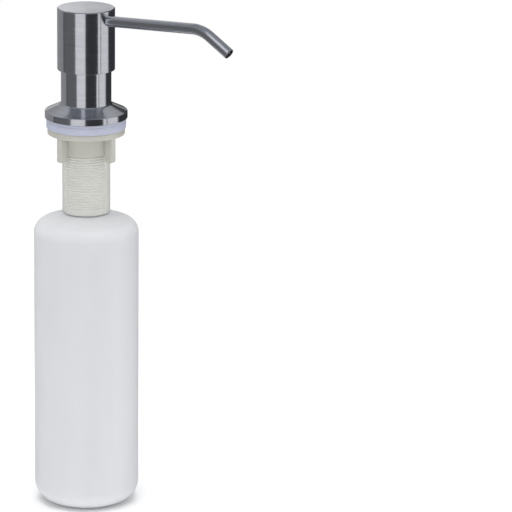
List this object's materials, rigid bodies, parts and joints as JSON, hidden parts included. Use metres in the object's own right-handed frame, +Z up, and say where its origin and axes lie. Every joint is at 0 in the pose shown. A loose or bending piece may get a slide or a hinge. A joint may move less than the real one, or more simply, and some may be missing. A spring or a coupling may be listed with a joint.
{
  "type": "soap pump dispenser",
  "caption": "Deck-mounted soap pump dispenser: swivel pump head with bent spout, clamping flange, threaded shank, wing nut and screw-on bottle.",
  "frame": {"origin": "centre of the bottle's base, on the pump's axis", "axes": "+Z up along the pump's axis, +X from the axis towards the spout's tip"},
  "size_m": [0.1285, 0.0588, 0.2858],
  "materials": {
    "brushed_steel": "satin, brushed round the axis",
    "polished_steel": "polished stainless wire and balls",
    "cream_plastic": "moulded, slightly satin",
    "milky_bottle": "blow-moulded milky polyethylene",
    "pale_rubber": "matt, pale blue-grey",
    "black_rubber": "matt",
    "pump_plastic": "moulded natural white",
    "clear_tube": "extruded natural tube",
    "piston_plastic": "moulded soft plastic"
  },
  "bodies": {
    "deck_fitting": {"base_flange": "brushed_steel", "threaded_shank": "cream_plastic", "deck_gasket": "pale_rubber"},
    "clamp_washer": {"underdeck_washer": "pale_rubber"},
    "nut": {"wing_nut": "cream_plastic"},
    "bottle_seal": {"neck_seal": "black_rubber"},
    "soap_bottle": {"bottle": "milky_bottle"},
    "pump_insert": {"collar_seal": "black_rubber", "pump_cylinder": "pump_plastic", "pump_collar": "pump_plastic", "stem_guide": "pump_plastic", "spring_seat": "pump_plastic", "dip_tube": "clear_tube", "return_spring": "polished_steel"},
    "inlet_valve": {"inlet_ball": "polished_steel"},
    "plunger": {"piston_stem": "pump_plastic", "piston_cup": "piston_plastic"},
    "outlet_valve": {"outlet_ball": "polished_steel"},
    "pump_head": {"head_shell": "brushed_steel", "head_core": "pump_plastic", "skirt_bush": "pump_plastic", "spout_tube": "brushed_steel", "spout_liner": "clear_tube", "spout_seal": "black_rubber"}
  },
  "joints": [
    {"name": "nut_travel", "type": "slide", "parent": "deck_fitting", "child": "clamp_washer", "axis": [0, 0, -1], "range_m": [0, 0.025]},
    {"name": "nut_turn", "type": "hinge", "parent": "clamp_washer", "child": "nut", "pos_m": [0, 0, 0.21], "axis": [0, 0, -1], "range_deg": [0, 6000]},
    {"name": "bottle_travel", "type": "slide", "parent": "deck_fitting", "child": "bottle_seal", "axis": [0, 0, -1], "range_m": [0, 0.015]},
    {"name": "bottle_turn", "type": "hinge", "parent": "bottle_seal", "child": "soap_bottle", "pos_m": [0, 0, 0.18], "axis": [0, 0, -1], "range_deg": [0, 1800]},
    {"name": "insert_lift", "type": "slide", "parent": "deck_fitting", "child": "pump_insert", "axis": [0, 0, 1], "range_m": [0, 0.252]},
    {"name": "inlet_lift", "type": "slide", "parent": "pump_insert", "child": "inlet_valve", "axis": [0, 0, 1], "range_m": [0, 0.0015]},
    {"name": "head_press", "type": "slide", "parent": "pump_insert", "child": "plunger", "axis": [0, 0, -1], "range_m": [0, 0.014], "stiffness_N_per_m": 220, "springref_m": -0.018, "deforming": ["return_spring"]},
    {"name": "outlet_lift", "type": "slide", "parent": "plunger", "child": "outlet_valve", "axis": [0, 0, 1], "range_m": [0, 0.0015]},
    {"name": "head_swivel", "type": "hinge", "parent": "plunger", "child": "pump_head", "pos_m": [0, 0, 0.27], "axis": [0, 0, 1], "continuous": true}
  ],
  "couplings": [
    {"joint": "nut_travel", "follows": "nut_turn", "m_per_rad": 0.00023873},
    {"joint": "bottle_travel", "follows": "bottle_turn", "m_per_rad": 0.00047746}
  ]
}
